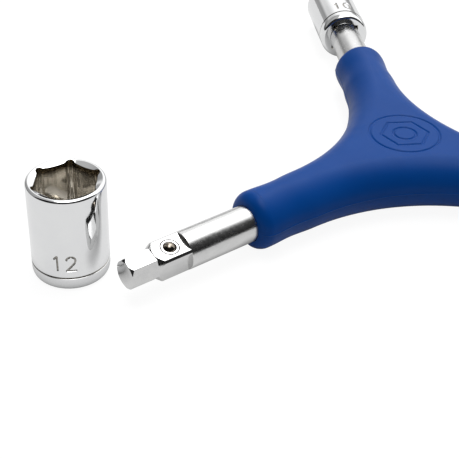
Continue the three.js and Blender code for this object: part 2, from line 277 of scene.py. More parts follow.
def arm_stations():
    """One side of an arm in plan, from the notch's bottom out to where the end rounding starts."""
    bisector = ARM_SPACING / 2
    centre = (NOTCH_DEPTH + NOTCH_RADIUS) * np.array([math.cos(bisector), math.sin(bisector)])
    side_end = np.array([HANDLE_REACH - ARM_END_ROUNDING, ARM_END_WIDTH / 2])
    to_end = side_end - centre
    reach = float(np.hypot(*to_end))
    first = bisector + math.pi
    last = math.atan2(to_end[1], to_end[0]) % (2 * math.pi) - math.acos(NOTCH_RADIUS / reach)
    stations = []
    for angle in steps(first, last, 44):
        inward = np.array([math.cos(angle), math.sin(angle)])
        stations.append((centre + NOTCH_RADIUS * inward, inward))
    tangent, inward = stations[-1]
    for share in steps(0, 1, 24)[1:]:
        waist = ARM_WAIST * math.sin(math.pi * share) ** 2
        stations.append((tangent + (side_end - tangent) * share + inward * waist, inward))
    return stations


def section_angles():
    coarse = steps(-90, 90, 44)
    fine = [-3.2, -2.6, -2.0, -1.5, -1.1, -0.7, -0.35, 0.35, 0.7, 1.1, 1.5, 2.0, 2.6, 3.2]
    return np.radians(sorted(set(coarse) | set(fine)))


def section(angles):
    """Inset from the outline and height over the mid-plane, from the underside up to the top."""
    across = (ARM_END_WIDTH - TOP_FLAT_WIDTH) / 2
    power = 2 / SECTION_POWER
    inset = across * (1 - np.abs(np.cos(angles)) ** power)
    rise = AXIS_HEIGHT * np.sign(angles) * np.abs(np.sin(angles)) ** power
    flash = PARTING_HEIGHT * np.exp(-((rise / PARTING_WIDTH) ** 2))
    return inset - flash, rise


def turned_about_hub(points, arm):
    c, s = math.cos(arm * ARM_SPACING), math.sin(arm * ARM_SPACING)
    x, y, z = points[..., 0], points[..., 1], points[..., 2]
    return np.stack([c * x - s * y, s * x + c * y, z], axis=-1)


def arm_side(stations, side):
    """Grid of one side of an arm: stations along it, section points from underside to top."""
    inset, rise = section(section_angles())
    rows = []
    for point, inward in stations:
        plan = point[None, :] + inset[:, None] * inward[None, :]
        rows.append(np.stack([plan[:, 0], side * plan[:, 1], AXIS_HEIGHT + rise], axis=-1))
    return np.array(rows)


def paddle_radius(along, angle, gap):
    """The flattened inner end of a shaft, as a distance from its axis."""
    inner = SHAFT_INNER - gap
    outer = SHAFT_INNER + PADDLE_LENGTH + gap
    bevel = np.maximum(PADDLE_BEVEL - (along - inner), 0) + np.maximum(PADDLE_BEVEL - (outer - along), 0)
    wide = (PADDLE_WIDTH / 2 + gap - bevel) / np.maximum(np.abs(np.cos(angle)), 1e-6)
    thick = (PADDLE_THICKNESS / 2 + gap) / np.maximum(np.abs(np.sin(angle)), 1e-6)
    return np.where((along >= inner) & (along <= outer), np.minimum(wide, thick), 0)


def bar_radius(along, gap):
    start = SHAFT_INNER + PADDLE_LENGTH - PADDLE_TAPER - gap
    radius = np.interp(along, [start, start + PADDLE_TAPER], [PADDLE_THICKNESS / 2, SHAFT_RADIUS]) + gap
    return np.where(along >= start, radius, 0)


def insert_rows(angles, gap):
    """Rings of the buried end of a shaft, from its inner end out to the plain bar."""
    inner = SHAFT_INNER - gap
    outer = SHAFT_INNER + PADDLE_LENGTH + gap
    bar = outer - gap - PADDLE_TAPER - gap
    stops = [inner, inner + PADDLE_BEVEL, bar - JUST_BEFORE, bar, bar + PADDLE_TAPER / 2]
    stops += [outer - PADDLE_BEVEL, outer]
    rows = []
    for along in sorted(stops):
        radius = np.maximum(paddle_radius(along, angles, gap), bar_radius(along, gap))
        rows.append(along_x(along, radius, angles))
    rows.append(along_x(outer, bar_radius(outer, gap), angles))
    return rows


def arm_end(skin, ring, arm, clocking):
    """Rounds an arm's end over to its shaft's hole, and follows the hole round the shaft's inner end.

    The ring is the section at the end of the arm's sides, in the arm's own frame.
    """
    y, z = ring[:, 1], ring[:, 2] - AXIS_HEIGHT
    reach = np.hypot(y, z)
    angles = np.arctan2(z, y)
    hole = SHAFT_RADIUS + HOLE_PLAY
    shrink = AXIS_HEIGHT * (1 - (hole + HOLE_EDGE) / reach)
    last = np.arccos(1 - shrink / ARM_END_ROUNDING)
    start = HANDLE_REACH - ARM_END_ROUNDING
    rows = []
    for share in steps(0, 1, 18):
        turn = last * share
        radius = reach * (1 - ARM_END_ROUNDING * (1 - np.cos(turn)) / AXIS_HEIGHT)
        rows.append(along_x(start + ARM_END_ROUNDING * np.sin(turn), radius, angles))
    lip = rows[-1][:, 0]
    for turn in quarter(4)[1:]:
        along = lip + HOLE_EDGE * (0.35 * math.sin(2 * turn) - 0.8 * (1 - math.cos(turn)))
        rows.append(along_x(along, hole + HOLE_EDGE * (1 - math.sin(turn)), angles))
    inside = insert_rows(angles - clocking, MOULD_GAP)
    c, s = math.cos(clocking), math.sin(clocking)
    spin = np.array([[1, 0, 0], [0, c, -s], [0, s, c]])
    rows.extend([row @ spin.T for row in inside[::-1]])
    lifted = np.array(rows)
    lifted[..., 2] += AXIS_HEIGHT
    grid = turned_about_hub(lifted, arm)
    skin.sheet(grid, around=True)
    skin.cap(grid[-1], grid[-1].mean(axis=0))


def sign_depth(x, y):
    """How deep the hub's sign is sunk at a point of the top: a ring, a hexagon and a bore, as lines."""
    radius = np.hypot(x, y)
    angle = np.arctan2(y, x)
    sixth = math.pi / 3
    to_flat = radius * np.cos((angle + sixth / 2) % sixth - sixth / 2)
    hexagon = to_flat - SIGN_HEX_RADIUS * math.cos(sixth / 2)
    lines = [radius - SIGN_RING_RADIUS, hexagon, radius - SIGN_BORE_RADIUS]
    off = np.minimum.reduce([np.abs(line) for line in lines])
    share = np.clip((SIGN_LINE / 2 + SIGN_EDGE / 2 - off) / SIGN_EDGE, 0, 1)
    return SIGN_DEPTH * share * share * (3 - 2 * share)


def inside_loop(x, y, loop):
    inside = False
    for (ax, ay), (bx, by) in zip(loop, np.roll(loop, -1, axis=0)):
        if (ay > y) != (by > y) and x < (bx - ax) * (y - ay) / (by - ay) + ax:
            inside = not inside
    return inside


def flat_sheet(skin, loop, height, hole=None, flip=False):
    """Fills a flat outline, less a round hole, with triangles."""
    rings = [loop] if hole is None else [loop, hole]
    points = np.concatenate(rings)
    edges = []
    start = 0
    for ring in rings:
        count = len(ring)
        edges.extend((start + i, start + (i + 1) % count) for i in range(count))
        start += count
    found = delaunay_2d_cdt([Vector(p) for p in points], edges, [], 0, 1e-6)
    flat = [(p.x, p.y, height) for p in found[0]]
    faces = []
    for face in found[2]:
        middle = np.mean([flat[i][:2] for i in face], axis=0)
        clear = hole is None or np.hypot(*middle) > SIGN_DISC * 0.999
        if clear and inside_loop(middle[0], middle[1], loop):
            faces.append(face[::-1] if flip else face)
    skin.add(flat, faces)


def handle_mesh():
    skin = Skin()
    stations = arm_stations()
    top = []
    under = []
    for arm, clocking in ((0, DRIVE_CLOCKING), (1, 0.0), (2, 0.0)):
        left = arm_side(stations, 1)
        right = arm_side(stations, -1)
        skin.sheet(turned_about_hub(left, arm), flip=True)
        skin.sheet(turned_about_hub(right, arm))
        ring = np.concatenate([right[-1], left[-1][::-1]])
        arm_end(skin, ring, arm, clocking)
        outer = turned_about_hub(np.concatenate([right[:, -1], left[::-1, -1][:-1]]), arm)
        top.append(outer[:, :2])
        outer = turned_about_hub(np.concatenate([right[:, 0], left[::-1, 0][:-1]]), arm)
        under.append(outer[:, :2])
    circle = [(SIGN_DISC * math.cos(a), SIGN_DISC * math.sin(a)) for a in steps(0, 2 * math.pi, 288)[:-1]]
    flat_sheet(skin, np.concatenate(top), HANDLE_THICKNESS, np.array(circle))
    flat_sheet(skin, np.concatenate(under), 0.0, flip=True)
    radii = np.array(steps(SIGN_DISC, 1.0, 78))
    angles = np.array(steps(0, 2 * math.pi, 288)[:-1])
    x = radii[:, None] * np.cos(angles)[None, :]
    y = radii[:, None] * np.sin(angles)[None, :]
    disc = np.stack([x, y, HANDLE_THICKNESS - sign_depth(x, y)], axis=-1)
    skin.sheet(disc, around=True)
    skin.cap(disc[-1], (0, 0, HANDLE_THICKNESS))
    return skin


# Shafts and ball

def shaft_angles():
    """Angles round a shaft, close together where flats meet corners."""
    octant = [0, 4, 8, 12, 16, 20, 24, 27, 30, 32, 34, 35, 36, 36.5, 37, 37.4, 37.8, 38.2, 38.6, 39]
    octant += [39.3, 39.6, 39.9, 40.2, 40.6, 41, 42, 43.5]
    quarter_turn = octant + [45] + [90 - a for a in octant[:0:-1]]
    degrees = {q * 90 + a for q in range(4) for a in quarter_turn}
    near_corner = [0, 0.35, 0.7, 1.1, 1.6, 2.4]
    for corner in range(6):
        degrees |= {(corner * 60 + sign * d) % 360 for d in near_corner for sign in (-1, 1)}
    return np.radians(sorted(degrees))


def square_radius(half, angle):
    return half / np.maximum(np.abs(np.cos(angle)), np.abs(np.sin(angle)))


def hexagon_radius(half, angle, rounding):
    """A hexagon bar with a flat facing up, as a distance from its axis."""
    sixth = math.pi / 3
    off = np.mod(angle - math.pi / 2, sixth)
    return rounded_min(half / np.cos(off), half / np.cos(sixth - off), rounding)


def shoulder_rows(angles, start):
    """The plain bar up to its shoulder, then the step down to the square."""
    square = square_radius(DRIVE_SQUARE / 2, angles)
    rows = [along_x(along, SHAFT_RADIUS, angles) for along in start]
    for turn in quarter(4):
        along = SHAFT_REACH - EDGE + EDGE * math.sin(turn)
        radius = SHAFT_RADIUS - EDGE * (1 - math.cos(turn))
        rows.append(along_x(along, np.maximum(radius, np.minimum(square, SHAFT_RADIUS)), angles))
    return rows


def drive_section(along, angles):
    if along > TIP_START:
        corner = TIP_HEX / math.sqrt(3)
        slope = (corner - TIP_END_RADIUS) / (TIP_END - TIP_CHAMFER_START)
        cone = TIP_END_RADIUS + (TIP_END - along) * slope
        return rounded_min(hexagon_radius(TIP_HEX / 2, angles, 0.05), cone, 0.06)
    cone = np.interp(along, [DRIVE_END, TIP_START], [SHAFT_RADIUS, STEP_END_RADIUS])
    return rounded_min(square_radius(DRIVE_SQUARE / 2, angles), cone, EDGE)


def drive_shaft_mesh():
    skin = Skin()
    angles = shaft_angles()
    bar = insert_rows(angles, 0.0) + shoulder_rows(angles, BAR_RINGS)
    skin.sheet(bar, around=True, flip=True)
    skin.cap(bar[0], (SHAFT_INNER, 0, 0))
    stops = steps(SHAFT_REACH, DRIVE_END - 0.1, 12) + steps(DRIVE_END - 0.1, TIP_START, 26)[1:]
    stops += steps(TIP_START + 0.06, TIP_CHAMFER_START - 0.1, 10)
    stops += steps(TIP_CHAMFER_START - 0.1, TIP_END - EDGE, 24)[1:]
    rows = [bar[-1]] + [along_x(s, drive_section(s, angles), angles) for s in stops]
    last = drive_section(TIP_END - EDGE, angles)
    for turn in quarter(3)[1:]:
        along = TIP_END - EDGE + EDGE * math.sin(turn)
        rows.append(along_x(along, last - EDGE * (1 - math.cos(turn)), angles))
    finish = np.full((len(rows) - 1, len(angles)), GROUND)
    # painted shade on the top part of the shoulder face
    finish[0, np.abs(angles - math.pi / 2) < math.pi / 4] = PAINTED_SHADE
    skin.sheet(rows, around=True, finish=finish, flip=True)
    skin.cap(rows[-1], (TIP_END, 0, 0), finish=GROUND, flip=True)
    return skin


def fixed_shaft_mesh():
    skin = Skin()
    angles = shaft_angles()
    bar = insert_rows(angles, 0.0) + shoulder_rows(angles, BAR_RINGS)
    skin.cap(bar[0], (SHAFT_INNER, 0, 0))
    square = np.minimum(square_radius(DRIVE_SQUARE / 2, angles), SHAFT_RADIUS)
    end = FIXED_SQUARE_END - FIXED_SQUARE_CHAMFER
    rows = bar + [along_x(s, square, angles) for s in (SHAFT_REACH, end)]
    rows.append(along_x(FIXED_SQUARE_END, np.minimum(square, SHAFT_RADIUS - FIXED_SQUARE_CHAMFER), angles))
    skin.sheet(rows, around=True, flip=True)
    skin.cap(rows[-1], (FIXED_SQUARE_END, 0, 0), flip=True)
    return skin


def lathe_z(skin, profile, count, finish=0):
    """A profile of (radius, height) pairs turned about Z, with its first and last point on the axis."""
    angles = np.array(steps(0, 2 * math.pi, count)[:-1])
    rows = [up_z(height, radius, angles) for radius, height in profile[1:-1]]
    skin.sheet(rows, around=True, finish=finish)
    skin.cap(rows[0], (0, 0, profile[0][1]), finish, flip=True)
    skin.cap(rows[-1], (0, 0, profile[-1][1]), finish)


def ball_matrix():
    return arm_matrix(0, DRIVE_CLOCKING) @ Matrix.Translation((BALL_REACH, 0, 0))


def ball_hole_tool():
    skin = Skin()
    wall = BALL_RADIUS + BALL_HOLE_PLAY
    depth = FLAT_HEIGHT - BALL_HEIGHT
    mouth = math.sqrt(BALL_RADIUS**2 - depth**2) + BALL_GAP
    floor = BALL_HOLE_FLOOR - FLAT_HEIGHT
    above = FLAT_HEIGHT + BALL_RADIUS
    profile = [(0, floor), (wall, floor), (wall, BALL_HEIGHT + depth / 3), (mouth, FLAT_HEIGHT - 0.06)]
    profile += [(mouth + 0.08, FLAT_HEIGHT + 0.02), (mouth + 0.08, above), (0, above)]
    # the hole's walls and the staking ring take the painted-shade slot of the piece they are cut from
    lathe_z(skin, profile, 96, finish=PAINTED_SHADE)
    angles = np.array(steps(0, 2 * math.pi, 96)[:-1])
    ring = [(-1, 0.05), (-1, 0), (0, -1), (1, 0), (1, 0.05), (-1, 0.05)]
    rows = []
    for side, down in ring:
        depth_here = STAKE_DEPTH * down if down < 0 else down
        rows.append(up_z(FLAT_HEIGHT + depth_here, STAKE_RADIUS + side * STAKE_WIDTH / 2, angles))
    skin.sheet(rows, around=True, finish=PAINTED_SHADE)
    return skin.piece("ball_hole_tool", [], ball_matrix())


def cut(piece, tool, sharp):
    """Cuts a closed tool out of a piece and removes the tool."""
    modifier = piece.modifiers.new("cut", "BOOLEAN")
    modifier.operation = "DIFFERENCE"
    modifier.solver = "EXACT"
    modifier.object = tool
    graph = bpy.context.evaluated_depsgraph_get()
    mesh = bpy.data.meshes.new_from_object(piece.evaluated_get(graph))
    piece.modifiers.remove(modifier)
    piece.data = mesh
    mesh.shade_smooth()
    mesh.set_sharp_from_angle(angle=math.radians(sharp))
    bpy.data.objects.remove(tool)


def ball_mesh():
    skin = Skin()
    profile = []
    for angle in steps(-math.pi / 2, math.pi / 2, 40):
        profile.append((BALL_RADIUS * math.cos(angle), BALL_HEIGHT + BALL_RADIUS * math.sin(angle)))
    lathe_z(skin, profile, 64)
    return skin


def spring_ends():
    """Heights of the middle of the wire at the spring's foot and under the ball."""
    foot = BALL_HOLE_FLOOR - FLAT_HEIGHT + SPRING_WIRE_RADIUS + SPRING_GAP
    apart = BALL_RADIUS + SPRING_WIRE_RADIUS + SPRING_GAP
    return foot, BALL_HEIGHT - math.sqrt(apart**2 - SPRING_RADIUS**2)


def spring_mesh():
    foot, head = spring_ends()
    turn = np.array(steps(0, SPRING_TURNS * 2 * math.pi, 130))
    middle = up_z(foot + (head - foot) * turn / turn[-1], SPRING_RADIUS, turn)
    ahead = np.gradient(middle, axis=0)
    ahead /= np.linalg.norm(ahead, axis=1, keepdims=True)
    outward = up_z(0.0, 1.0, turn)
    sideways = np.cross(ahead, outward)
    around = np.array(steps(0, 2 * math.pi, 14)[:-1])[None, :, None]
    wire = SPRING_WIRE_RADIUS * (np.cos(around) * outward[:, None] + np.sin(around) * sideways[:, None])
    grid = middle[:, None] + wire
    skin = Skin()
    skin.sheet(grid, around=True)
    skin.cap(grid[0], middle[0], flip=True)
    skin.cap(grid[-1], middle[-1])
    return skin


# Sockets

TWO_BOW = steps(math.radians(165), math.radians(-38), 16)
DIGITS = {
    "0": [[(0.5 + 0.5 * math.cos(a), 0.5 + 0.5 * math.sin(a)) for a in steps(0, 2 * math.pi, 28)]],
    "1": [[(0.22, 0.8), (0.55, 1.0), (0.55, 0.0)]],
    "2": [
        [(0.5 + 0.48 * math.cos(a), 0.72 + 0.28 * math.sin(a)) for a in TWO_BOW] + [(0.02, 0.0), (1.0, 0.0)]
    ],
    "8": [
        [(0.5 + 0.42 * math.cos(a), 0.755 + 0.245 * math.sin(a)) for a in steps(0, 2 * math.pi, 24)],
        [(0.5 + 0.5 * math.cos(a), 0.255 + 0.255 * math.sin(a)) for a in steps(0, 2 * math.pi, 24)],
    ],
}


def number_strokes(text):
    """Line segments of a number in millimetres, centred across and standing on its foot."""
    segments = []
    for place_in_text, digit in enumerate(text):
        left = (place_in_text - (len(text) - 1) / 2) * DIGIT_PITCH - DIGIT_WIDTH / 2
        for stroke in DIGITS[digit]:
            points = [(left + DIGIT_WIDTH * x, DIGIT_HEIGHT * y) for x, y in stroke]
            segments.extend(zip(points, points[1:]))
    return segments


def number_depth(text, across, up):
    """How deep the engraved number is at places on a socket's wall."""
    off = np.full(np.broadcast(across, up).shape, 1e3)
    for (ax, ay), (bx, by) in number_strokes(text):
        length = math.hypot(bx - ax, by - ay)
        share = np.clip(((across - ax) * (bx - ax) + (up - ay) * (by - ay)) / length**2, 0, 1)
        off = np.minimum(off, np.hypot(across - ax - share * (bx - ax), up - ay - share * (by - ay)))
    share = np.clip((DIGIT_LINE / 2 + 0.06 - off) / 0.12, 0, 1)
    return DIGIT_DEPTH * share * share * (3 - 2 * share)


def hex_radius(apothem, angles):
    """A hexagon with a round relief in each corner, corners at whole sixths of a turn."""
    sixth = math.pi / 3
    off = (angles + sixth / 2) % sixth - sixth / 2
    flat = apothem / np.cos(sixth / 2 - np.abs(off))
    centre = apothem / math.cos(sixth / 2) + RELIEF_REACH - RELIEF_RADIUS
    under = RELIEF_RADIUS**2 - (centre * np.sin(off)) ** 2
    relief = centre * np.cos(off) + np.sqrt(np.maximum(under, 0))
    return np.where(under > 0, np.maximum(flat, relief), flat)


def relief_angle(apothem):
    """Half the angle that a corner's relief takes up, seen from the socket's axis."""
    slope = math.pi / 6
    centre = apothem / math.cos(slope) + RELIEF_REACH - RELIEF_RADIUS
    spread = slope + math.acos((apothem - centre * math.cos(slope)) / RELIEF_RADIUS)
    return math.atan2(RELIEF_RADIUS * math.sin(spread), centre + RELIEF_RADIUS * math.cos(spread))


def socket_angles(apothem, radius, facing, text):
    degrees = set(np.round(steps(0, 360, 120)[:-1], 4))
    relief = math.degrees(relief_angle(apothem))
    for corner in range(6):
        degrees |= {round((corner * 60 + relief * s) % 360, 4) for s in steps(-1, 1, 10)}
    for corner in range(4):
        degrees |= {round((45 + corner * 90 + d) % 360, 4) for d in (-1, 0, 1)}
    half = math.degrees((len(text) * DIGIT_PITCH / 2 + 0.3) / radius)
    middle = math.degrees(facing)
    count = round(2 * half * radius * math.pi / 180 / 0.075)
    degrees |= {round(d % 360, 4) for d in steps(middle - half, middle + half, count)}
    kept = []
    for d in sorted(degrees):
        if not kept or d - kept[-1] > 0.05:
            kept.append(d)
    return np.radians(kept)


def socket_mesh(size, outer, facing, detent):
    skin = Skin()
    radius = outer / 2 - WALL_TRIM
    apothem = (size + HEX_PLAY) / 2
    text = str(size)
    angles = socket_angles(apothem, radius, facing, text)
    across = ((angles - facing + math.pi) % (2 * math.pi) - math.pi) * radius
    square = square_radius(DRIVE_SQUARE / 2 + SQUARE_PLAY, angles)
    if detent:
        square = np.maximum(square, TIP_PASSAGE_RADIUS)

    rows = [up_z(0.0, square + 0.3, angles), up_z(0.0, radius - BASE_ROUNDING_IN - 0.6, angles)]
    for turn in quarter(12):
        inset = BASE_ROUNDING_IN * (1 - math.sin(turn))
        rows.append(up_z(BASE_ROUNDING_UP * (1 - math.cos(turn)), radius - inset, angles))
    for share in steps(-1.3, 1.3, 16):
        depth = GROOVE_DEPTH * max(0.0, math.cos(min(abs(share), 1) * math.pi / 2)) ** 1.2
        rows.append(up_z(GROOVE_HEIGHT + share * GROOVE_WIDTH / 2, radius - depth, angles))
    foot = DIGIT_BASE - 0.3
    for height in steps(foot, DIGIT_BASE + DIGIT_HEIGHT + 0.3, 54):
        depth = number_depth(text, across, np.full_like(across, height - DIGIT_BASE))
        rows.append(up_z(height, radius - depth, angles))
    for height in steps(DIGIT_BASE + DIGIT_HEIGHT + 0.8, SOCKET_LENGTH - RIM_ROUNDING, 10):
        rows.append(up_z(height, radius, angles))
    for turn in quarter(8)[1:]:
        height = SOCKET_LENGTH - RIM_ROUNDING * (1 - math.sin(turn))
        rows.append(up_z(height, radius - RIM_ROUNDING * (1 - math.cos(turn)), angles))
    hexagon = hex_radius(apothem, angles)
    lip = np.maximum(radius - RIM_LIP, hexagon + MOUTH_EDGE)
    for share in steps(0, 1, 6):
        r = lip + (hexagon + MOUTH_EDGE - lip) * share
        rows.append(up_z(SOCKET_LENGTH - (lip - r) * math.tan(LEAD_IN_ANGLE), r, angles))
    grid = np.array(rows)
    sunk = radius - np.hypot(grid[..., 0], grid[..., 1])
    sunk[(grid[..., 2] < BASE_ROUNDING_UP + 0.1) | (grid[..., 2] > SOCKET_LENGTH - RIM_ROUNDING)] = 0
    beside = np.roll(sunk, -1, axis=1)
    depth = (sunk[:-1] + sunk[1:] + beside[:-1] + beside[1:]) / 4
    # painted shade: faces sunk deeper than RECESS_DEPTH in the groove and the numbers take the dark slot
    skin.sheet(grid, around=True, finish=np.where(depth > RECESS_DEPTH, PAINTED_SHADE, PLATED))
    edge = rows[-1][:, 2]
    inside = [rows[-1]]
    for turn in quarter(3)[1:]:
        height = edge - MOUTH_EDGE * (1 - math.cos(turn))
        inside.append(up_z(height, hexagon + MOUTH_EDGE * (1 - math.sin(turn)), angles))
    for share in steps(0.08, 1, 8):
        height = (edge - MOUTH_EDGE) + (DRIVE_HOLE_DEPTH - edge + MOUTH_EDGE) * share
        inside.append(up_z(height, hexagon, angles))
    skin.sheet(inside, around=True, finish=BORE)
    floor = [inside[-1], up_z(DRIVE_HOLE_DEPTH, square + 0.25, angles)]
    skin.sheet(floor, around=True, finish=BORE_FLOOR)
    inside = [floor[-1], up_z(DRIVE_HOLE_DEPTH - 0.25, square, angles)]
    if detent:
        deepest = FLAT_HEIGHT + BALL_PROUD + BALL_GAP
        for share in steps(1, -1, 8):
            ring = TIP_PASSAGE_RADIUS + (deepest - TIP_PASSAGE_RADIUS) * (1 - abs(share))
            inside.append(up_z(DETENT_HEIGHT + share * DETENT_WIDTH / 2, np.maximum(square, ring), angles))
    inside.append(up_z(0.3, square, angles))
    inside.append(rows[0])
    skin.sheet(inside, around=True, finish=BORE)
    return skin


# Materials

def material(name, colour, metallic, roughness):
    made = bpy.data.materials.new(name)
    made.use_nodes = True
    shader = made.node_tree.nodes["Principled BSDF"]
    shader.inputs["Base Color"].default_value = (*colour, 1)
    shader.inputs["Metallic"].default_value = metallic
    shader.inputs["Roughness"].default_value = roughness
    return made, shader


class Nodes:
    """Short ways to add the few kinds of node that the materials use."""

    def __init__(self, owner):
        self.tree = owner.node_tree

    def add(self, kind, **settings):
        node = self.tree.nodes.new(kind)
        for key, value in settings.items():
            setattr(node, key, value)
        return node

    def link(self, source, target):
        self.tree.links.new(source, target)

    def place(self, stretch=(1, 1, 1)):
        """The point on the object in metres, stretched along its axes."""
        coords = self.add("ShaderNodeTexCoord")
        mapping = self.add("ShaderNodeMapping")
        mapping.inputs["Scale"].default_value = stretch
        self.link(coords.outputs["Object"], mapping.inputs["Vector"])
        return mapping.outputs["Vector"]

    def noise(self, size, detail=3.0, stretch=(1, 1, 1)):
        """Noise whose features are about this many millimetres across."""
        node = self.add("ShaderNodeTexNoise")
        node.inputs["Scale"].default_value = 1 / (size * MM)
        node.inputs["Detail"].default_value = detail
        self.link(self.place(stretch), node.inputs["Vector"])
        return node.outputs["Fac"]

    def ranged(self, value, low, high, to_low, to_high, shape="LINEAR"):
        node = self.add("ShaderNodeMapRange", interpolation_type=shape)
        ends = {"From Min": low, "From Max": high, "To Min": to_low, "To Max": to_high}
        for key, number in ends.items():
            node.inputs[key].default_value = number
        self.link(value, node.inputs["Value"])
        return node.outputs["Result"]

    def smooth(self, value, low, high, to_low, to_high):
        return self.ranged(value, low, high, to_low, to_high, "SMOOTHSTEP")

    def towards(self, point, direction):
        node = self.add("ShaderNodeVectorMath", operation="DOT_PRODUCT")
        self.link(point, node.inputs[0])
        node.inputs[1].default_value = direction
        return node.outputs["Value"]

    def joined(self, operation, first, second):
        node = self.add("ShaderNodeMath", operation=operation)
        self.link(first, node.inputs[0])
        self.link(second, node.inputs[1])
        return node.outputs[0]

    def product(self, first, second):
        return self.joined("MULTIPLY", first, second)

    def blend(self, value, first, second):
        node = self.add("ShaderNodeMix", data_type="RGBA")
        self.link(value, node.inputs["Factor"])
        node.inputs[6].default_value = (*first, 1)
        node.inputs[7].default_value = (*second, 1)
        return node.outputs[2]

    def bump(self, height, depth, strength, shader):
        node = self.add("ShaderNodeBump")
        node.inputs["Distance"].default_value = depth * MM
        node.inputs["Strength"].default_value = strength
        self.link(height, node.inputs["Height"])
        self.link(node.outputs["Normal"], shader.inputs["Normal"])


def moulding_material():
    made, shader = material("blue_moulding", (0.001, 0.056, 0.28), 0, 0.45)
    nodes = Nodes(made)
    cloud = nodes.ranged(nodes.noise(14, 4), 0.3, 0.7, 0, 1)
    blue = nodes.blend(cloud, (0.0006, 0.047, 0.234), (0.0011, 0.053, 0.259))
    nodes.link(blue, shader.inputs["Base Color"])
    nodes.link(nodes.ranged(nodes.noise(3, 5), 0.3, 0.7, 0.34, 0.42), shader.inputs["Roughness"])
    shader.inputs["Specular IOR Level"].default_value = 0.09
    nodes.bump(nodes.noise(0.35, 4), 0.008, 0.5, shader)
    return made


def satin_material():
    made, shader = material("satin_steel", (0.64, 0.64, 0.64), 1, 0.26)
    nodes = Nodes(made)
    cloud = nodes.ranged(nodes.noise(2.5, 4), 0.3, 0.7, 0, 1)
    nodes.link(nodes.blend(cloud, (0.61, 0.61, 0.61), (0.66, 0.66, 0.655)), shader.inputs["Base Color"])
    nodes.link(nodes.ranged(nodes.noise(0.8, 5), 0.3, 0.7, 0.20, 0.28), shader.inputs["Roughness"])
    nodes.bump(nodes.noise(0.16, 3), 0.004, 0.5, shader)
    return made


def ground_material():
    made, shader = material("ground_steel", (0.66, 0.66, 0.66), 1, 0.14)
    nodes = Nodes(made)
    cloud = nodes.ranged(nodes.noise(1.4, 4), 0.3, 0.7, 0, 1)
    nodes.link(nodes.blend(cloud, (0.60, 0.60, 0.60), (0.64, 0.64, 0.635)), shader.inputs["Base Color"])
    nodes.link(nodes.ranged(nodes.noise(0.6, 5), 0.3, 0.7, 0.10, 0.20), shader.inputs["Roughness"])
    nodes.bump(nodes.noise(0.3, 3), 0.004, 0.5, shader)
    return made


def chrome_material():
    made, shader = material("chrome", (0.77, 0.775, 0.78), 1, 0.05)
    nodes = Nodes(made)
    cloud = nodes.ranged(nodes.noise(5, 3), 0.3, 0.7, 0, 1)
    nodes.link(nodes.blend(cloud, (0.755, 0.76, 0.768), (0.785, 0.79, 0.792)), shader.inputs["Base Color"])
    nodes.link(nodes.ranged(nodes.noise(2, 5), 0.3, 0.7, 0.04, 0.09), shader.inputs["Roughness"])
    nodes.bump(nodes.noise(0.8, 2), 0.002, 0.3, shader)
    return made


def bore_material(size, axis, mouth):
    """Broached steel, dark by the mouth and a little darker towards the bottom, with a bright band and
    bright patches part way down that are painted reflection of light inside the bore.
    """
    made, shader = material(f"socket_bore_{size}", (0.5, 0.45, 0.38), 0.85, 0.1)
    nodes = Nodes(made)
    coords = nodes.add("ShaderNodeTexCoord")
    along = nodes.towards(coords.outputs["Object"], axis)
    above = nodes.smooth(along, (mouth - 3.2) * MM, (mouth - 1.2) * MM, 1, 0)
    below = nodes.smooth(along, (mouth - 9.5) * MM, (mouth - 5.2) * MM, 0.8, 1)
    patch = nodes.ranged(nodes.noise(7, 0), 0.40, 0.56, 0.55, 1)
    # painted reflection: the bright band and patches between the dark mouth and the bottom
    painted_reflection = nodes.product(nodes.product(patch, above), below)
    nodes.link(nodes.blend(painted_reflection, (0.09, 0.07, 0.042), (0.985, 0.95, 0.88)), shader.inputs["Base Color"])
    nodes.link(nodes.ranged(nodes.noise(0.9, 5), 0.3, 0.7, 0.05, 0.11), shader.inputs["Roughness"])
    return made


def bore_floor_material():
    made, shader = material("socket_bore_floor", (0.88, 0.86, 0.82), 0, 0.5)
    nodes = Nodes(made)
    cloud = nodes.ranged(nodes.noise(1.2, 5), 0.3, 0.7, 0, 1)
    nodes.link(nodes.blend(cloud, (0.84, 0.815, 0.77), (0.92, 0.90, 0.865)), shader.inputs["Base Color"])
    nodes.link(nodes.ranged(nodes.noise(0.6, 5), 0.3, 0.7, 0.4, 0.6), shader.inputs["Roughness"])
    return made


# dark steel that stands for painted shade, with a random tone
def recess_material(name, level):
    made, shader = material(name, (level, 0.96 * level, 0.88 * level), 1, 0.35)
    nodes = Nodes(made)
    cloud = nodes.ranged(nodes.noise(0.5, 5), 0.3, 0.7, 0, 1)
    darker = (0.75 * level, 0.71 * level, 0.63 * level)
    paler = (1.25 * level, 1.2 * level, 1.12 * level)
    nodes.link(nodes.blend(cloud, darker, paler), shader.inputs["Base Color"])
    nodes.link(nodes.ranged(nodes.noise(0.4, 4), 0.3, 0.7, 0.3, 0.45), shader.inputs["Roughness"])
    return made


def ball_material():
    made, shader = material("ball_steel", (0.36, 0.32, 0.27), 1, 0.14)
    nodes = Nodes(made)
    cloud = nodes.ranged(nodes.noise(0.7, 4), 0.3, 0.7, 0, 1)
    nodes.link(nodes.blend(cloud, (0.22, 0.192, 0.158), (0.29, 0.255, 0.215)), shader.inputs["Base Color"])
    nodes.link(nodes.ranged(nodes.noise(0.4, 4), 0.3, 0.7, 0.06, 0.12), shader.inputs["Roughness"])
    return made


def spring_material():
    made, shader = material("spring_steel", (0.2, 0.2, 0.21), 1, 0.35)
    nodes = Nodes(made)
    cloud = nodes.ranged(nodes.noise(0.5, 4), 0.3, 0.7, 0, 1)
    nodes.link(nodes.blend(cloud, (0.16, 0.16, 0.17), (0.26, 0.26, 0.27)), shader.inputs["Base Color"])
    nodes.link(nodes.ranged(nodes.noise(0.3, 4), 0.3, 0.7, 0.3, 0.45), shader.inputs["Roughness"])
    return made


# Pieces

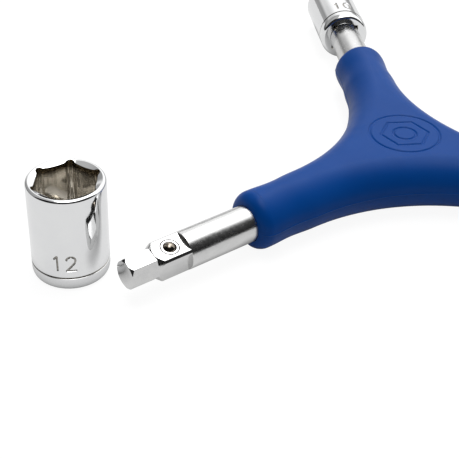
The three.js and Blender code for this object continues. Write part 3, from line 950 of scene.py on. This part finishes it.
def build_pieces():
    moulding = moulding_material()
    satin = satin_material()
    ground = ground_material()
    chrome = chrome_material()
    # dark steel that is painted shade on the drive's shoulder, the ball's hole and its staking ring
    shoulder = recess_material("shoulder_painted_shade", 0.11)
    # dark steel that is painted shade in the sockets' groove and numbers
    recess = recess_material("recess_painted_shade", 0.34)
    bore_floor = bore_floor_material()

    place(handle_mesh().piece("moulded_handle", [moulding]), "wrench", "blue_moulding", "handle")

    finishes = [satin, ground, shoulder]
    drive = drive_shaft_mesh().piece("square_drive", finishes, arm_matrix(0, DRIVE_CLOCKING))
    cut(drive, ball_hole_tool(), 32)
    place(drive, "wrench", "satin_steel", "drive_shaft")

    ball_place = ball_matrix()
    place(ball_mesh().piece("ball", [ball_material()], ball_place), "ball", "ball_steel", "detent_ball")
    coil = spring_mesh().piece("coil_spring", [spring_material()], ball_place)
    place(coil, "wrench", "spring_steel", "detent_spring")
    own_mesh(coil)

    for size, outer, arm in FIXED_SOCKETS:
        shaft = fixed_shaft_mesh().piece(f"fixed_shaft_{size}", [satin], arm_matrix(arm))
        place(shaft, "wrench", "satin_steel", f"shaft_{size}mm")
        lie = arm_matrix(arm) @ Matrix.Translation((FIXED_SOCKET_BASE, 0, 0))
        lie = lie @ Matrix.Rotation(math.pi / 2, 4, "Y")
        axis = (math.cos(arm * ARM_SPACING), math.sin(arm * ARM_SPACING), 0)
        bore = bore_material(size, axis, FIXED_SOCKET_BASE + SOCKET_LENGTH)
        finishes = [chrome, bore, recess, bore_floor]
        head = socket_mesh(size, outer, math.pi, False).piece(f"fixed_socket_{size}", finishes, lie)
        place(head, "wrench", "chrome", f"socket_{size}mm")

    stand = Matrix.Translation((*SOCKET_STAND, 0)) @ Matrix.Rotation(SOCKET_STAND_TURN, 4, "Z")
    size, outer = LOOSE_SOCKET
    finishes = [chrome, bore_material(size, (0, 0, 1), SOCKET_LENGTH), recess, bore_floor]
    loose = socket_mesh(size, outer, SIZE_FACING, True).piece("loose_socket_12", finishes, stand)
    place(loose, "loose_socket", "chrome", "socket_12mm")


# Studio

FLOOR_SIZE = 6.0
FLOOR_BELOW = 1e-4  # keeps the floor clear of what stands on it
FLOOR_ALBEDO = 0.65
FLOOR_SHOWN = 0.10  # share of the floor's shown brightness that takes shadows
FLOOR_REFLECTED = 0.87  # the floor in a reflection, against 1 where the camera sees it
FLOOR_NEARBY = 5.0  # how near a piece shades the floor's reflection
BRIGHT = 1.32
OVERHEAD = 0.6
OVERHEAD_EDGE = (0.55, 0.85)
DARK_AZIMUTH = math.radians(58)
DARK_EDGE = (-0.12, 0.12)
DARK_TOP = (0.82, 0.95)
DARK_SHARE = 0.02
LAMP_TO = (-0.418, -0.336, 0.844)  # towards the soft lamp
LAMP = 2.2
LAMP_EDGE = (0.92, 0.975)
ZENITH = 5.0  # straight above, which reaches the floor of the loose socket's bore
ZENITH_EDGE = (0.95, 0.985)
DIM_TO = (0.439, -0.627, 0.643)  # towards the dimmer part of the room beyond the loose socket
DIM_EDGE = (0.64, 0.80)
DIM_SHARE = 0.28
SKIRTING_EDGE = (0.14, 0.28)  # the room is darker low down
SKIRTING_SHARE = 0.3


def floor():
    mesh = bpy.data.meshes.new("floor")
    half = FLOOR_SIZE / 2
    corners = [(-half, -half), (half, -half), (half, half), (-half, half)]
    mesh.from_pydata([(x, y, -FLOOR_BELOW) for x, y in corners], [], [(0, 1, 2, 3)])
    made = bpy.data.materials.new("pale_floor")
    made.use_nodes = True
    nodes = Nodes(made)
    nodes.tree.nodes.clear()
    path = nodes.add("ShaderNodeLightPath")
    seen = nodes.add("ShaderNodeMath", operation="MAXIMUM")
    mirrored = nodes.add("ShaderNodeMath", operation="MAXIMUM")
    nodes.link(path.outputs["Is Glossy Ray"], mirrored.inputs[0])
    nodes.link(path.outputs["Is Transmission Ray"], mirrored.inputs[1])
    nodes.link(path.outputs["Is Camera Ray"], seen.inputs[0])
    nodes.link(mirrored.outputs[0], seen.inputs[1])
    plain = nodes.add("ShaderNodeBsdfDiffuse")
    plain.inputs["Color"].default_value = (FLOOR_ALBEDO, FLOOR_ALBEDO, FLOOR_ALBEDO, 1)
    shadow = nodes.add("ShaderNodeBsdfDiffuse")
    shadow.inputs["Color"].default_value = (FLOOR_SHOWN, FLOOR_SHOWN, FLOOR_SHOWN, 1)
    glow = nodes.add("ShaderNodeEmission")
    open_sky = nodes.add("ShaderNodeAmbientOcclusion")
    open_sky.inputs["Distance"].default_value = FLOOR_NEARBY * MM
    reflected = nodes.ranged(open_sky.outputs["AO"], 0, 1, 0, FLOOR_REFLECTED - FLOOR_SHOWN)
    level = nodes.add("ShaderNodeMix", data_type="FLOAT")
    nodes.link(path.outputs["Is Camera Ray"], level.inputs["Factor"])
    nodes.link(reflected, level.inputs["A"])
    level.inputs["B"].default_value = 1 - FLOOR_SHOWN * 0.7
    nodes.link(level.outputs["Result"], glow.inputs["Strength"])
    both = nodes.add("ShaderNodeAddShader")
    nodes.link(shadow.outputs[0], both.inputs[0])
    nodes.link(glow.outputs[0], both.inputs[1])
    mix = nodes.add("ShaderNodeMixShader")
    nodes.link(seen.outputs[0], mix.inputs[0])
    nodes.link(plain.outputs[0], mix.inputs[1])
    nodes.link(both.outputs[0], mix.inputs[2])
    out = nodes.add("ShaderNodeOutputMaterial")
    nodes.link(mix.outputs[0], out.inputs["Surface"])
    mesh.materials.append(made)
    piece = bpy.data.objects.new("floor", mesh)
    bpy.context.scene.collection.objects.link(piece)


def studio_world():
    """White all round and brighter overhead, with an unlit side nearest the camera."""
    world = bpy.data.worlds.new("studio")
    bpy.context.scene.world = world
    world.use_nodes = True
    nodes = Nodes(world)
    nodes.tree.nodes.clear()
    coords = nodes.add("ShaderNodeTexCoord")
    looking = coords.outputs["Generated"]
    apart = nodes.add("ShaderNodeSeparateXYZ")
    nodes.link(looking, apart.inputs[0])
    height = apart.outputs["Z"]
    towards_dark = (math.cos(DARK_AZIMUTH), math.sin(DARK_AZIMUTH), 0)
    side = nodes.smooth(nodes.towards(looking, towards_dark), *DARK_EDGE, 0, 1)
    dark = nodes.product(side, nodes.smooth(height, *DARK_TOP, 1, 0))
    light = nodes.smooth(height, *OVERHEAD_EDGE, BRIGHT, BRIGHT + OVERHEAD)
    light = nodes.product(light, nodes.smooth(dark, 0, 1, 1, DARK_SHARE))
    light = nodes.product(light, nodes.smooth(nodes.towards(looking, DIM_TO), *DIM_EDGE, 1, DIM_SHARE))
    light = nodes.product(light, nodes.smooth(height, *SKIRTING_EDGE, SKIRTING_SHARE, 1))
    light = nodes.joined("ADD", light, nodes.smooth(height, *ZENITH_EDGE, 0, ZENITH))
    lamp = nodes.smooth(nodes.towards(looking, LAMP_TO), *LAMP_EDGE, 0, LAMP)
    light = nodes.joined("ADD", light, lamp)
    room = nodes.add("ShaderNodeBackground")
    nodes.link(light, room.inputs["Strength"])
    white = nodes.add("ShaderNodeBackground")
    path = nodes.add("ShaderNodeLightPath")
    mix = nodes.add("ShaderNodeMixShader")
    nodes.link(path.outputs["Is Camera Ray"], mix.inputs[0])
    nodes.link(room.outputs[0], mix.inputs[1])
    nodes.link(white.outputs[0], mix.inputs[2])
    out = nodes.add("ShaderNodeOutputWorld")
    nodes.link(mix.outputs[0], out.inputs["Surface"])
    room.inputs["Color"].default_value = (1, 1, 1, 1)
    white.inputs["Color"].default_value = (1, 1, 1, 1)


def camera():
    data = bpy.data.cameras.new("camera")
    data.sensor_width = CAMERA_SENSOR
    data.lens = CAMERA_LENS
    data.clip_start = 0.01
    data.clip_end = 20
    at = Vector(CAMERA_AT) * MM
    back = (at - Vector(CAMERA_TARGET) * MM).normalized()
    level = Vector((0, 0, 1)).cross(back).normalized()
    upright = back.cross(level)
    right = level * math.cos(CAMERA_ROLL) + upright * math.sin(CAMERA_ROLL)
    up = back.cross(right)
    piece = bpy.data.objects.new("camera", data)
    piece.matrix_world = Matrix((
        (right.x, up.x, back.x, at.x),
        (right.y, up.y, back.y, at.y),
        (right.z, up.z, back.z, at.z),
        (0, 0, 0, 1),
    ))
    bpy.context.scene.collection.objects.link(piece)
    bpy.context.scene.camera = piece


bpy.context.scene.view_settings.view_transform = "Standard"
camera()
studio_world()
floor()
build_pieces()
